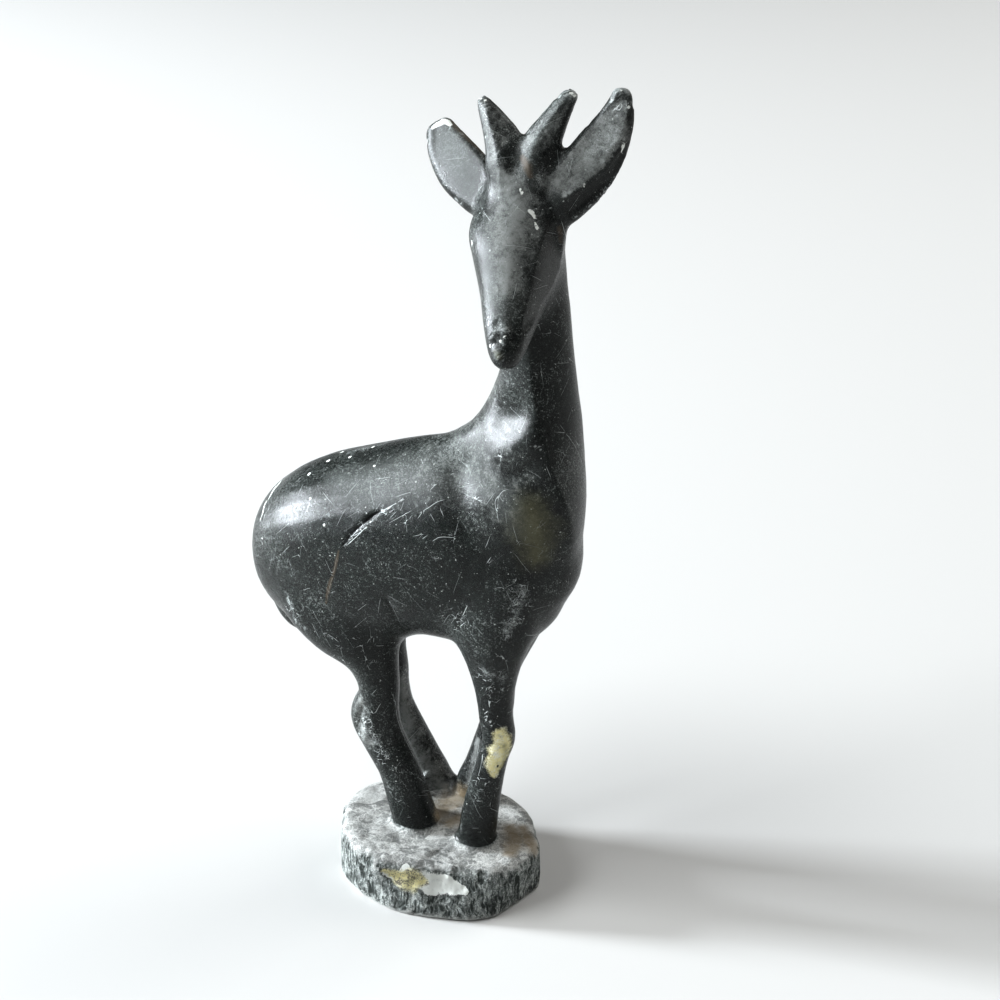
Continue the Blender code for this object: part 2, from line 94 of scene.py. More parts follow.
class Skin:
    """The stone's skin: points, the net between them, and named fields, a number at each point."""

    def __init__(self, mesh):
        self.mesh = mesh
        count = len(mesh.vertices)
        points = np.empty(count * 3)
        mesh.vertices.foreach_get("co", points)
        self.points = points.reshape(count, 3) / MM
        edges = np.empty(len(mesh.edges) * 2, np.int64)
        mesh.edges.foreach_get("vertices", edges)
        self.starts, self.ends = edges.reshape(-1, 2).T
        self.neighbours = np.bincount(edges, minlength=count)
        corners = np.empty(len(mesh.loops), np.int64)
        mesh.loops.foreach_get("vertex_index", corners)
        self.quads = corners.reshape(-1, 4)
        self.fields = {}
        self.settle()

    def settle(self):
        """Works out afresh the direction out of the stone at each point, after points have moved."""
        a, b, c, d = (self.points[self.quads[:, corner]] for corner in range(4))
        across = np.cross(c - a, d - b)
        out = [np.bincount(self.quads.ravel(), np.repeat(column, 4)) for column in across.T]
        self.out = np.stack(out, 1)
        self.out /= np.linalg.norm(self.out, axis=1)[:, None]

    def around(self, values):
        """The mean of each point's neighbours."""
        count = len(self.neighbours)
        total = []
        for column in values.reshape(count, -1).T:
            ahead = np.bincount(self.starts, column[self.ends], count)
            behind = np.bincount(self.ends, column[self.starts], count)
            total.append(ahead + behind)
        return (np.stack(total, 1) / self.neighbours[:, None]).reshape(values.shape)

    def fair(self, rounds):
        """Takes the facets out without shrinking thin parts: each round smooths, then swells back."""
        for _ in range(rounds):
            for step in (FAIRING_STEP, FAIRING_RETURN):
                self.points = self.points + step * (self.around(self.points) - self.points)
        self.settle()

    def push(self, amount):
        """Moves each point out of the stone by its own amount; less than zero cuts into it."""
        self.points = self.points + self.out * amount[:, None]
        self.settle()

    def bend(self, rounds):
        """How sharply the skin bends at each point, as 1 over a radius in millimetres, above 0 on edges."""
        flat = ((self.points - self.around(self.points)) * self.out).sum(1) * 4 / SKIN_CELL ** 2
        for _ in range(rounds):
            flat = self.around(flat)
        return flat

    def ripple(self, size, stretch=(1, 1, 1), seed=0):
        """Smooth noise over the skin, -1 to 1, with features of about this size."""
        scaled = self.points / (np.array(stretch) * size) + RIPPLE_SHIFT * seed
        return np.array([noise.noise(point) for point in scaled.tolist()])

    def as_tree(self):
        """The skin as it stands now, to look for the nearest point in or to cast rays at."""
        return BVHTree.FromPolygons(self.points.tolist(), self.quads.tolist())

    def field(self, name, outside=-1.0):
        """A named field, made when it is first asked for."""
        return self.fields.setdefault(name, np.full(len(self.points), outside))

    def save(self):
        """Writes the points and the fields back to the mesh, which works in metres."""
        self.mesh.vertices.foreach_set("co", (self.points * MM).ravel())
        for name, values in self.fields.items():
            field = self.mesh.attributes.new(name, "FLOAT", "POINT")
            field.data.foreach_set("value", values.astype(np.float32))
        self.mesh.shade_smooth()
        self.mesh.update()


def ease(values, low, high):
    """0 below low, 1 above high and a smooth step between them; low may be the larger."""
    share = np.clip((values - low) / (high - low), 0, 1)
    return share * share * (3 - 2 * share)


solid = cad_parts["stone_deer"]
carving = bpy.data.objects.new("carved_stone", solid.data.copy())
bpy.context.scene.collection.objects.link(carving)
net = carving.modifiers.new("net", "REMESH")
net.mode = "VOXEL"
net.voxel_size = SKIN_CELL * MM
graph = bpy.context.evaluated_depsgraph_get()
fine = bpy.data.meshes.new_from_object(carving.evaluated_get(graph))
carving.modifiers.clear()
carving.data = fine
fine.name = "carved_stone"
skin = Skin(fine)
skin.fair(FAIRING_ROUNDS)
tree = skin.as_tree()
foot_level = skin.points[:, 2].min()

# The head. A long wedge with a flat brow, whose right cheek ends in a thin edge over the throat; the muzzle's
# end is bruised and lumpy above a darker, polished nose.
FACE_EDGE = [(541, 222), (533, 262), (524, 300), (517, 332)]
JAW_EDGE = [(561, 219), (566, 245), (563, 268), (552, 293), (537, 321), (527, 338)]
CHEEK = [
    (543, 224, 0.3), (535, 262, 0.3), (526, 300, 0.3), (520, 328, 0.2), (527, 331, 0), (537, 316, 0),
    (550, 290, 0), (560, 267, 0), (562, 245, 0), (557, 224, 0),
]
BROW_SPOTS = [
    [(520, 189, 0.4), (522, 193, 0.6)],
    [(529, 210, 0.5), (532, 213, 0.9), (535, 218, 0.5)],
    [(535, 223, 0.3), (537, 228, 0.6)],
    [(546, 247, 0.3), (546, 251, 0.5)],
    [(472, 241, 0.4), (472, 245, 0.5)],
]
MUZZLE_CHIPS = [(489, 346), (494, 343), (500, 341), (505, 336), (509, 332)]
MUZZLE_SPOTS = [
    (490, 346, 0.6), (494, 344, 0.4), (500, 341, 0.5), (504, 337, 0.4), (508, 331, 0.9), (497, 349, 0.4),
    (503, 345, 0.4), (486, 338, 0.4), (512, 337, 0.4), (488, 352, 0.4), (494, 352, 0.5), (503, 350, 0.3),
]
MUZZLE_LUMPS = [
    (506, 331, 1.9, 0.8), (497, 324, 1.5, -0.5), (513, 341, 1.4, -0.5), (493, 337, 1.5, 0.5),
    (500, 334, 1.3, -0.4), (497, 355, 3.0, 0.4), (507, 357, 2.0, -0.2),
]
UNDER_JAW = [(569, 258), (560, 290), (545, 320), (535, 340)]
FACE_PAINT = [
    ("olive", [(496, 352, 1.0), (499, 356, 1.3)]),
    ("scuff", [(500, 322, 0.8), (498, 334, 1.8), (500, 342, 1.6)]),
    ("dust", [(500, 178, 3.0), (512, 205, 7.0), (514, 245, 7.0), (508, 290, 5.0), (502, 325, 3.0)]),
    ("dust", [(492, 225, 4.0), (489, 260, 4.0), (492, 300, 3.0)]),
    ("brown", [(560, 228, 0.9), (562, 242, 0.9)]),
]

# A mark is a run of points as the photograph shows them, pixel across and pixel down, with its half width in
# millimetres. A smooth curve through them, a point every few pixels, is cast onto the stone. Where it jumps,
# it has left that side of the stone, and it goes on once it is back. A spot is a pixel and a radius in
# millimetres, a lump also how far it is raised, and paint is a field's name and a run.
CAST_STEP = 2.0
SAME_SURFACE = 6.0
TAPER = 0.18
CUT_SLOPE = 2
SWELLING_CROWN = 0.8
HAIR_REACH = 2.0 * SKIN_CELL
NEXT_TO_NOTHING = 1e-9

# A rasped face takes in the skin this near to it in height, where the skin looks nearly the same way.
FACET_REACH = 4.0
FACET_FACES = 0.35


def curve_through(rows, step):
    """Points about one step apart on a smooth curve through the rows; the first two columns are a place."""
    rows = [np.array(row, float) for row in rows]
    ends = [2 * rows[0] - rows[1], *rows, 2 * rows[-1] - rows[-2]]
    found = []
    for a, b, c, d in zip(ends, ends[1:], ends[2:], ends[3:]):
        parts = max(1, round(np.linalg.norm((c - b)[:2]) / step))
        for part in range(parts):
            t = part / parts
            bend = a - 2.5 * b + 2 * c - d / 2
            twist = 1.5 * (b - c) + (d - a) / 2
            found.append(b + t * ((c - a) / 2 + t * (bend + t * twist)))
    return [*found, rows[-1]]


def cast(px, py):
    """Where the lens sees this pixel on the stone, or just past it, and the way out of the stone there."""
    lens = camera.location / MM
    place, out, _, _ = tree.ray_cast(lens, sight(px, py))
    if place is None:
        place, out, _, _ = tree.find_nearest(lens + sight(px, py) * VIEW_DISTANCE / MM)
    return place, out


def cast_path(rows):
    """Where a mark lies on the stone: rows of x, y, z and half width in millimetres."""
    found = []
    for px, py, *rest in curve_through(rows, CAST_STEP):
        place, _ = cast(px, py)
        if found and (place - Vector(found[-1][:3])).length > SAME_SURFACE:
            continue
        found.append((*place, *rest))
    return np.array(found)


class Beside:
    """The skin's points within reach of a path: how far from it, how far along it from 0 to 1, the path's
    half width, nearest place and heading there."""

    def __init__(self, path, reach):
        low, high = path[:, :3].min(0) - reach, path[:, :3].max(0) + reach
        near = np.flatnonzero(((skin.points > low) & (skin.points < high)).all(1))
        spots = skin.points[near]
        best = np.full(len(near), np.inf)
        width, along = np.zeros(len(near)), np.zeros(len(near))
        place, heading = np.zeros((len(near), 3)), np.zeros((len(near), 3))
        spans = len(path) - 1
        for k in range(spans):
            start, run = path[k, :3], path[k + 1, :3] - path[k, :3]
            share = np.clip((spots - start) @ run / (run @ run + NEXT_TO_NOTHING), 0, 1)
            foot = start + share[:, None] * run
            apart = np.linalg.norm(spots - foot, axis=1)
            closer = apart < best
            best[closer] = apart[closer]
            width[closer] = (path[k, -1] + share * (path[k + 1, -1] - path[k, -1]))[closer]
            along[closer] = ((k + share) / spans)[closer]
            place[closer] = foot[closer]
            heading[closer] = run / (np.linalg.norm(run) + NEXT_TO_NOTHING)
        keep = best < reach
        self.near, self.apart, self.width = near[keep], best[keep], width[keep]
        self.along, self.place, self.heading = along[keep], place[keep], heading[keep]
        self.ends = ease(np.minimum(self.along, 1 - self.along), 0, TAPER)


def crease(rows, rise, reach, pinch=0.6):
    """Draws the skin within reach to a crisp line, a ridge where rise is above 0 and a valley below it."""
    side = Beside(cast_path(rows), reach)
    share = pinch * side.ends * (1 - side.apart / reach) ** 2
    line = side.place + skin.out[side.near] * rise
    skin.points[side.near] += (line - skin.points[side.near]) * share[:, None]
    skin.settle()


def facet(rows, pull=0.85, border=0.9, facing=None, painted_light=None):
    """Rasps one flat face with straight edges. Each corner is a pixel and how far it is raised; the face
    lies as they do, or faces an azimuth and elevation in degrees. Its last argument is painted light: a
    paler colour laid on the face where it turns to the lamps."""
    raised = []
    for px, py, rise in rows:
        place, out = cast(px, py)
        raised.append(place + out * rise)
    raised = np.array(raised)
    centre = raised.mean(0)
    along, across, square = np.linalg.svd(raised - centre)[2]
    if facing:
        square = np.array(direction(*np.radians(facing)))
        across = np.cross(square, (0, 0, 1))
        across = across / np.linalg.norm(across)
        along = np.cross(across, square)
    if square @ (np.array(camera.location) / MM - centre) < 0:
        square = -square
    flat = np.stack(((raised - centre) @ along, (raised - centre) @ across), 1)
    away = skin.points - centre
    height = away @ square
    spots = np.stack((away @ along, away @ across), 1)
    inside = np.full(len(spots), np.inf)
    for start, end in zip(flat, np.roll(flat, -1, 0)):
        inward = np.array((start[1] - end[1], end[0] - start[0])) / np.linalg.norm(end - start)
        inward = inward if (flat.mean(0) - start) @ inward > 0 else -inward
        inside = np.minimum(inside, (spots - start) @ inward)
    share = pull * ease(inside, -border / 2, border / 2)
    share = share * (np.abs(height) < FACET_REACH) * (skin.out @ square > FACET_FACES)
    skin.points -= square * (height * share)[:, None]
    skin.settle()
    if painted_light is not None:
        field = skin.field("painted_light")
        np.maximum(field, np.where(share > pull / 2, painted_light, -1.0), out=field)


def stroke(name, rows, cut=0.0, level=1.0):
    """Paints a mark into a field that is level along its middle, 0 at its edge and below 0 outside it."""
    path = cast_path(rows)
    if len(path) < 2:
        return
    side = Beside(path, 2 * path[:, -1].max() + SKIN_CELL)
    inside = level * (1 - side.apart / side.width)
    field = skin.field(name)
    field[side.near] = np.maximum(field[side.near], inside)
    if cut:
        depth = np.zeros(len(skin.points))
        depth[side.near] = np.clip(inside * CUT_SLOPE, 0, 1) * cut
        skin.push(-depth)


def within(px, py, radius):
    """How far each point is inside a ball round what the lens sees at a pixel: 1 at its middle."""
    return 1 - np.linalg.norm(skin.points - np.array(cast(px, py)[0]), axis=1) / radius


def dab(name, px, py, radius):
    """Paints a spot."""
    field = skin.field(name)
    np.maximum(field, within(px, py, radius), out=field)


def swell(px, py, radius, rise):
    """Raises a lump or, below 0, hollows a pit."""
    skin.push(rise * ease(within(px, py, radius), 0, SWELLING_CROWN))


def score(path, half_width):
    """Draws a hair line along a path on the skin. Two fields carry it: how far a point is to one side of
    the line, and the line's half width, so that the line stays thinner than the net's own cells."""
    side = Beside(path, HAIR_REACH)
    off, half = skin.field("hair_side", 1.0), skin.field("hair_half", 0.0)
    near = skin.field("hair_near", HAIR_REACH)
    closer = side.apart < near[side.near]
    at = side.near[closer]
    left = np.cross(side.heading, skin.out[side.near])
    off[at] = ((skin.points[side.near] - side.place) * left).sum(1)[closer]
    half[at] = (half_width * side.ends * (1 - side.apart / HAIR_REACH))[closer]
    near[at] = side.apart[closer]


def pale_line(rows, half_width):
    """A pale hair line cast onto the stone from its pixels: mostly a scratch, but along the jaw's edge,
    the elbow's crease and the near fore leg's lit side a painted highlight.
    """
    path = cast_path(rows)
    if len(path) > 1:
        score(path, half_width)


facet(CHEEK)
crease(UNDER_JAW, rise=-1.2, reach=3.5, pinch=0.8)
crease(FACE_EDGE, rise=0.35, reach=4.0)
crease(JAW_EDGE, rise=0.35, reach=2.2, pinch=0.8)
for rows in BROW_SPOTS:
    stroke("chalk", rows)
for lump in MUZZLE_LUMPS:
    swell(*lump)
crease(MUZZLE_CHIPS, rise=-0.2, reach=1.4)
for px, py, radius in MUZZLE_SPOTS:
    dab("chalk", px, py, radius)
for name, rows in FACE_PAINT:
    stroke(name, rows)
# A pale line along the jaw's edge: a painted highlight where the edge catches the light.
pale_line(JAW_EDGE, half_width=0.10)

# The ears and horns. The right ear is a flat blade with its top broken off, the left a deeper one with a
# ridge down its hollow side; each horn is a three-sided spike with a bruised tip.
RIGHT_EAR_FACE = [
    (433, 126, 0), (448, 121, 0), (485, 161, 0), (484, 182, 0), (473, 204, 0), (460, 200, 0), (444, 186, 0),
    (433, 150, 0),
]
LEFT_EAR_FACE = [
    (619, 93, 0), (628, 102, 0.2), (627, 124, 0.5), (619, 145, 0.6), (602, 166, 0.6), (582, 184, 0.6),
    (562, 197, 0.4), (549, 178, 0), (560, 159, 0), (586, 132, 0), (602, 114, 0),
]
LEFT_EAR_UNDERSIDE = [(561, 199, 0.5), (603, 168, 0.9), (613, 180, -0.8), (570, 218, -0.8)]
LEFT_EAR_OUTER = [(604, 168, 0.9), (627, 134, 0.6), (629, 146, -0.4), (614, 179, -0.8)]
RIGHT_EAR_BEVEL = [
    (434, 148, 0.3), (445, 184, 0.3), (463, 202, 0.3), (472, 214, -0.6), (458, 206, -0.8), (440, 191, -0.8),
    (429, 150, -0.8),
]
RIGHT_HORN_FACES = [
    [(486, 104, 0.3), (492, 126, 0.3), (500, 152, 0.3), (517, 134, -0.2), (504, 115, -0.2)],
    [(479, 104, -0.2), (484, 104, 0.3), (490, 127, 0.3), (498, 157, 0.3), (497, 176, 0.2), (491, 160, -0.3)],
]
LEFT_HORN_FACES = [
    [(571, 99, 0.3), (553, 118, 0.3), (537, 140, 0.3), (532, 157, 0.3), (552, 149, -0.2), (559, 132, -0.3),
     (572, 108, -0.2)],
    [(566, 95, 0.3), (551, 115, 0.3), (534, 138, 0.3), (526, 156, 0.3), (519, 147, -0.2), (531, 130, -0.3)],
]
LEFT_EAR_RIDGE = [(562, 199), (588, 186), (606, 167), (622, 146), (628, 122)]
RIGHT_HORN_RIDGE = [(484, 103), (490, 127), (498, 156), (500, 182), (503, 205)]
LEFT_HORN_RIDGE = [(568, 97), (552, 116), (536, 138), (529, 158), (530, 180)]
EAR_AND_HORN_CHIPS = [
    (571, 93, 0.7), (575, 96, 0.6), (480, 98, 0.6), (485, 100, 0.6), (621, 90, 0.6), (629, 107, 0.6),
    (584, 185, 0.8),
]
LEFT_EAR_PAINTED_LIGHT = 0.60
HORN_PAINTED_LIGHT = 0.25
RIGHT_EAR_PAINT = [
    ("chalk", [(432, 128, 0.5), (437, 124, 0.9), (445, 121, 1.1), (451, 125, 0.6)]),
    ("brown", [(451, 122, 1.0), (462, 132, 1.5), (474, 144, 1.4), (484, 154, 0.9)]),
    ("dust", [(440, 135, 4.5), (458, 160, 5.5), (468, 188, 5.0)]),
]
LEFT_EAR_PAINT = [
    ("painted_light", [(584, 154, 2.5), (600, 142, 4.0), (616, 135, 3.6), (624, 138, 2.4)]),
    ("painted_light", [(548, 182, 3.0), (566, 180, 3.0), (578, 174, 2.4)]),
    ("dust", [(560, 186, 5.0), (580, 165, 6.0), (600, 140, 6.0), (614, 118, 6.0), (622, 102, 5.0)]),
    ("scuff", [(588, 152, 2.0), (603, 142, 3.4), (618, 134, 2.8)]),
    ("chalk", [(621, 138, 0.5), (623, 146, 0.8), (622, 152, 0.4)]),
]
HORN_PAINT = [
    ("dust", [(566, 98, 2.4), (550, 120, 3.0), (534, 145, 3.0), (528, 165, 3.0)]),
    ("dust", [(481, 112, 1.6), (489, 145, 1.8), (494, 175, 1.8)]),
]
BROW_PAINT = [
    ("scuff", [(543, 165, 0.8), (539, 176, 1.3), (540, 192, 1.0)]),
    ("dust", [(520, 160, 3.0), (528, 178, 4.0), (530, 195, 3.0)]),
    ("painted_light", [(500, 172, 3.0), (512, 190, 6.0), (516, 215, 7.0), (512, 245, 6.0), (506, 285, 4.0)]),
    ("brown", [(522, 158, 1.2), (527, 166, 1.6), (530, 176, 1.0)]),
]

facet(RIGHT_EAR_FACE)
facet(RIGHT_EAR_BEVEL)
# The left ear's upper face and each horn face get painted light, a paler grey where they turn to the lamps.
facet(LEFT_EAR_FACE, painted_light=LEFT_EAR_PAINTED_LIGHT)
facet(LEFT_EAR_UNDERSIDE)
facet(LEFT_EAR_OUTER)
for rows in RIGHT_HORN_FACES + LEFT_HORN_FACES:
    facet(rows, painted_light=HORN_PAINTED_LIGHT)
crease(LEFT_EAR_RIDGE, rise=0.45, reach=2.4, pinch=0.9)
for rows in (RIGHT_HORN_RIDGE, LEFT_HORN_RIDGE):
    crease(rows, rise=0.25, reach=2.4)
# Among these strokes, the pale grey ones on the left ear, the brow and the left of the face are painted light.
for name, rows in RIGHT_EAR_PAINT + LEFT_EAR_PAINT + HORN_PAINT + BROW_PAINT:
    stroke(name, rows)
for px, py, radius in EAR_AND_HORN_CHIPS:
    dab("chalk", px, py, radius)

# The neck and breast. The throat is a sharp keel that winds down over the breast, and a broad rasped face on
# the neck's right side catches the light above a shoulder that was left duller.
NECK_FACE = [
    (498, 406, 0), (518, 402, 0), (531, 418, 0), (533, 444, 0), (515, 458, 0), (495, 452, 0), (488, 430, 0),
]
NECK_FACES = (-26, 27)
NECK_SIDE = [(490, 402, 3.0), (484, 426, 4.0), (472, 442, 4.0)]
SHOULDER = [(440, 458, 5.0), (464, 456, 7.0), (482, 468, 7.0), (492, 488, 5.0)]
SHOULDER_PAINTED_LIGHT = 0.15
NECK_PAINTED_LIGHT = 0.10
KEEL = [(527, 356), (532, 384), (537, 412), (543, 436), (549, 462), (559, 488), (568, 511), (577, 536)]
NECK_SCRATCHES = [
    ([(550, 432), (564, 433), (571, 440), (578, 452), (584, 469)], 0.09),
    ([(511, 490), (505, 490), (499, 495), (495, 502), (497, 513), (499, 525)], 0.11),
    ([(507, 552), (513, 553)], 0.12),
    ([(546, 466), (551, 478)], 0.10),
    ([(487, 563), (491, 557)], 0.10),
]
NECK_PAINT = [
    ("dust", [
        (335, 478, 4.0), (360, 482, 8.0), (400, 474, 10.0),
        (440, 466, 10.0), (470, 468, 8.0), (478, 486, 5.0),
    ]),
    ("dust", [(480, 480, 4.0), (505, 500, 6.0), (520, 530, 5.0)]),
    ("olive", [(531, 508, 6.0), (534, 531, 9.0), (536, 556, 6.0)]),
    ("scuff", [(524, 583, 1.4), (521, 598, 3.0), (514, 616, 3.0), (507, 636, 2.0)]),
    ("scuff", [(525, 588, 0.8), (524, 600, 1.4), (518, 612, 1.2), (510, 628, 1.4), (506, 640, 0.8)]),
]

facet(NECK_FACE, pull=0.90, border=9.0, facing=NECK_FACES)
stroke("dull", SHOULDER)
# Painted light: a faint pale grey over the shoulder and the neck's side, where the light falls on them.
stroke("painted_light", SHOULDER, level=SHOULDER_PAINTED_LIGHT)
stroke("painted_light", NECK_SIDE, level=NECK_PAINTED_LIGHT)
crease(KEEL, rise=0.35, reach=3.6)
for name, rows in NECK_PAINT:
    stroke(name, rows)
for rows, half_width in NECK_SCRATCHES:
    pale_line(rows, half_width)

# The body. A split runs down the flank from an old flaw in the stone, pale at its lips and brown where it
# closes; the back is rubbed and chipped.
FLANK_LUMPS = [(298, 512, 22.0, 1.0), (392, 496, 20.0, -0.9), (470, 472, 14.0, -0.7)]
SPLIT = [(379, 511, 0.35), (372, 516, 0.85), (363, 523, 0.45), (352, 533, 0.5), (341, 547, 0.3)]
SPLIT_LIPS = [
    ([(374, 519), (366, 527), (356, 537), (345, 547)], 0.16),
    ([(409, 495), (398, 502), (387, 508), (378, 513)], 0.10),
    ([(404, 497), (394, 505), (384, 512)], 0.07),
    ([(398, 503), (392, 511), (384, 516)], 0.06),
    ([(361, 527), (352, 535), (344, 543)], 0.10),
]
FLAW = [(339, 550, 0.4), (334, 571, 0.7), (328, 590, 0.7), (326, 604, 0.4)]
FLANK_SCRATCHES = [
    ([(447, 499), (437, 502), (428, 508), (419, 513)], 0.10),
    ([(431, 540), (442, 537), (456, 538)], 0.12),
    ([(433, 541), (438, 538), (441, 541)], 0.10),
    ([(324, 632), (332, 637), (340, 643)], 0.10),
    ([(430, 490), (437, 483)], 0.10),
    ([(421, 458), (423, 465)], 0.10),
    ([(380, 597), (378, 615)], 0.07),
    ([(338, 552), (334, 570), (329, 590), (327, 603)], 0.07),
]
RUMP_CHIPS = [
    [(268, 500, 0.3), (272, 492, 0.5), (276, 486, 0.3)],
    [(262, 515, 0.3), (264, 506, 0.5), (267, 500, 0.3)],
    [(276, 487, 0.3), (281, 481, 0.35)],
    [(260, 520, 0.4), (261, 516, 0.3)],
]
BACK_SPOTS = [
    (309, 474, 0.7), (328, 461, 0.9), (350, 457, 0.7), (324, 525, 0.6), (262, 538, 0.6), (373, 447, 0.9),
    (342, 452, 0.8), (276, 480, 0.6), (374, 466, 0.6),
]
THIGH_CREASE = [(383, 594), (391, 609), (400, 628), (405, 634)]
THIGH_SCRATCH = [(386, 599), (394, 613), (402, 630)]
ELBOW_CREASE = [(469, 603), (462, 616), (458, 636)]
ELBOW_HIGHLIGHT = [(469, 603), (463, 614), (459, 630)]
BACK_SCUFF = (327, 515, 2.2)
BACK_PAINT = [
    ("scuff", [(350, 452, 1.6), (365, 448, 2.2), (382, 445, 1.6)]),
    ("scuff", [(287, 593, 1.4), (290, 605, 2.0), (296, 622, 1.8), (306, 628, 1.2)]),
]

for lump in FLANK_LUMPS:
    swell(*lump)
tree = skin.as_tree()
stroke("split", SPLIT, cut=0.55)
for rows, half_width in SPLIT_LIPS + FLANK_SCRATCHES:
    pale_line(rows, half_width)
stroke("brown", FLAW)
for rows in RUMP_CHIPS:
    stroke("chalk", rows, cut=0.12)
for px, py, radius in BACK_SPOTS:
    dab("chalk", px, py, radius)
dab("scuff", *BACK_SCUFF)
for name, rows in BACK_PAINT:
    stroke(name, rows)
crease(THIGH_CREASE, rise=-1.1, reach=3.4)
pale_line(THIGH_SCRATCH, half_width=0.10)
crease(ELBOW_CREASE, rise=-0.8, reach=3.0)
# A pale line along the elbow's crease: a painted highlight on its edge.
pale_line(ELBOW_HIGHLIGHT, half_width=0.14)

# The legs. Straight, squared posts, left whole with the base and scratched at the hocks; a pale flaw in the
# stone comes out at the near fore knee.
KNEE_PIT = (498, 766.5, 0.6)
KNEE_FLAW = [(500, 735, 2.6), (503, 745, 3.6), (499, 757, 3.9), (495, 768, 3.0), (494, 775, 1.4)]
HOCK_SCRATCHES = [
    ([(356, 731), (362, 724), (369, 719)], 0.14),
    ([(357, 733), (365, 738), (375, 742)], 0.14),
    ([(362, 724), (371, 733), (379, 741)], 0.12),
    ([(374, 716), (378, 708), (381, 703)], 0.12),
    ([(372, 694), (376, 690)], 0.12),
    ([(366, 722), (364, 731), (368, 737)], 0.12),
    ([(380, 744), (384, 753), (390, 760)], 0.14),
    ([(395, 696), (398, 720), (409, 747), (422, 769)], 0.12),
]
FORE_SCRATCHES_AND_HIGHLIGHTS = [
    ([(480, 737), (476, 760), (468, 786), (461, 812)], 0.10),
    ([(484, 742), (481, 765), (474, 790)], 0.08),
    ([(474, 686), (476, 690)], 0.14),
    ([(487, 716), (485, 722)], 0.14),
    ([(477, 672), (479, 676)], 0.14),
]
FORE_LEG_SIDE = [(459, 832, 0), (464, 800, 0), (474, 765, 0), (480, 768, 0), (476, 800, 0), (470, 832, 0)]
HOCK_SIDE = [(358, 706, 0), (367, 700, 0), (370, 735, 0), (366, 744, 0), (357, 732, 0)]
LEG_SIDE_FACES = (-32, 6)
FORE_LEG_RIDGE = [(482, 690), (480, 730), (477, 780), (471, 828)]
HIND_LEG_RIDGE = [(372, 700), (374, 735), (387, 775), (398, 815)]
LEG_PAINT = [
    ("olive", [(505, 745, 1.2), (506, 755, 1.6), (502, 766, 1.6)]),
    ("scuff", [(358, 724, 1.4), (366, 731, 2.2), (376, 740, 1.6), (388, 757, 1.0)]),
    ("painted_light", [(400, 680, 4.0), (412, 740, 5.0), (430, 772, 6.0), (446, 792, 6.0)]),
    ("painted_light", [(478, 740, 1.6), (471, 775, 2.0), (464, 805, 2.4), (460, 830, 2.4)]),
    ("painted_light", [(360, 700, 2.0), (360, 722, 3.0), (368, 742, 2.6)]),
    ("scuff", [(480, 668, 2.0), (488, 674, 3.0), (500, 678, 2.6)]),
]

for rows in (FORE_LEG_SIDE, HOCK_SIDE):
    facet(rows, pull=0.8, border=1.2, facing=LEG_SIDE_FACES)
for rows in (FORE_LEG_RIDGE, HIND_LEG_RIDGE):
    crease(rows, rise=0.30, reach=3.0)
stroke("cream", KNEE_FLAW, cut=0.15)
dab("split", *KNEE_PIT)
# The first two fore leg lines are painted highlights down the leg's lit side; the rest are scratches.
for rows, half_width in HOCK_SCRATCHES + FORE_SCRATCHES_AND_HIGHLIGHTS:
    pale_line(rows, half_width)
# The pale grey strokes in the leg paint are painted light: the legs' lit sides and a highlight on the hock.
for name, rows in LEG_PAINT:
    stroke(name, rows)

# The base. It was left as the chisel and rasp cut it: scooped bites over its top and upright strokes down its
# sawn front, with a shallow wound broken out of the front wall, brown at one end and white at the other.
ROUGH_FADES = (19.4, 17.8)
SEED = 41

# A bite spreads only over skin that faces nearly its own way. Bites run anyhow over the top and stand upright
# on the walls, the underside has none, and bites and ripples stop a little above the ground.
BITES = 170
BITE_LENGTH = (3.0, 8.0)
BITE_WIDTH = (1.2, 3.0)
BITE_DEPTH = (0.12, 0.42)
BITE_FACES = 0.6
TOP_FACES = 0.7
UNDERSIDE_FACES = -0.5
UPRIGHT_SWING = 0.15
BITES_STOP = 0.5
RIPPLES_STOP = 0.3
BASE_RIPPLES = [(0.30, 7.0, (1, 1, 1.5), 3), (0.12, 2.2, (1, 1, 2), 1)]
FIGURE_RIPPLE = (0.07, 8.0, (1, 1, 1), 2)

FRONT_EDGE = [(376, 855), (398, 854), (420, 857), (457, 866), (490, 871), (508, 872)]
SIDE_EDGE = [(508, 872), (525, 868), (541, 858)]
CORNER = [(508, 872), (506, 895), (505, 912)]
WOUND = [(384, 874, 0.9), (398, 878, 2.0), (420, 881, 3.0), (440, 885, 3.3), (458, 889, 2.2), (463, 889, 1.2)]
WOUND_CHIPS = [
    [(401, 871, 0.7), (406, 866, 0.9), (410, 870, 0.5)], [(445, 878, 1.2), (450, 881, 1.2)],
    [(427, 891, 1.3), (434, 892, 1.5)], [(460, 892, 1.0), (465, 892, 1.1)],
]
WOUND_BROWN = [(384, 872, 1.2), (396, 877, 2.6), (408, 880, 4.0), (418, 881, 3.4), (424, 882, 1.5)]
WOUND_OLIVE = [(404, 883, 1.2), (412, 880, 1.8), (417, 877, 1.0)]
WOUND_DARK = [(392, 872, 0.8), (398, 875, 1.0)]
BASE_EARTH = [
    [(438, 814, 3.0), (448, 804, 5.0), (462, 796, 4.0)], [(450, 822, 3.0), (462, 816, 3.0)],
    [(510, 828, 2.6), (515, 838, 3.8), (510, 852, 2.4)], [(522, 828, 2.0), (532, 846, 3.0)],
]

base = ease(skin.points[:, 2], *ROUGH_FADES)
skin.fields["rough"] = base.copy()
for rows in (FRONT_EDGE, SIDE_EDGE):
    crease(rows, rise=0.40, reach=2.4, pinch=0.9)
crease(CORNER, rise=0.20, reach=2.0)


